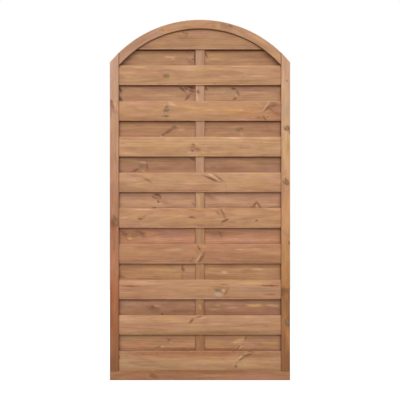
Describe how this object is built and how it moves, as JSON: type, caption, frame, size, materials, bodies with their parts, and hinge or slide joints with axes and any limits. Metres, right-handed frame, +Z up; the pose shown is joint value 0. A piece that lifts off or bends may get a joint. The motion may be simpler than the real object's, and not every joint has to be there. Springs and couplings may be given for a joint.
{
  "type": "arched fence panel",
  "caption": "Tall narrow timber fence panel with a round top, a grooved frame and alternating front and back slats that lap each other.",
  "frame": {"origin": "on the outer face of the left stile, in the middle of its depth and halfway up the panel, where it is fastened to a post", "axes": "+X along the panel from the left stile to the right one as seen from the front, +Y from the front to the back, +Z up"},
  "size_m": [0.9, 0.044, 1.8],
  "materials": {
    "frame_timber": "planed softwood, treated, bare, weathering slightly",
    "batten_timber": "planed softwood, treated, bare",
    "slat_timber": "planed softwood, treated, bare, with knots"
  },
  "bodies": {
    "root": {"bottom_rail": "frame_timber", "left_stile": "frame_timber", "right_stile": "frame_timber", "arch_rail_left": "frame_timber", "arch_rail_middle": "frame_timber", "arch_rail_right": "frame_timber", "middle_batten": "batten_timber", "front_slat_01": "slat_timber", "front_slat_02": "slat_timber", "front_slat_03": "slat_timber", "front_slat_04": "slat_timber", "front_slat_05": "slat_timber", "front_slat_06": "slat_timber", "front_slat_07": "slat_timber", "front_slat_08": "slat_timber", "front_slat_09": "slat_timber", "front_slat_10": "slat_timber", "back_slat_01": "slat_timber", "back_slat_02": "slat_timber", "back_slat_03": "slat_timber", "back_slat_04": "slat_timber", "back_slat_05": "slat_timber", "back_slat_06": "slat_timber", "back_slat_07": "slat_timber", "back_slat_08": "slat_timber", "back_slat_09": "slat_timber"}
  },
  "joints": []
}
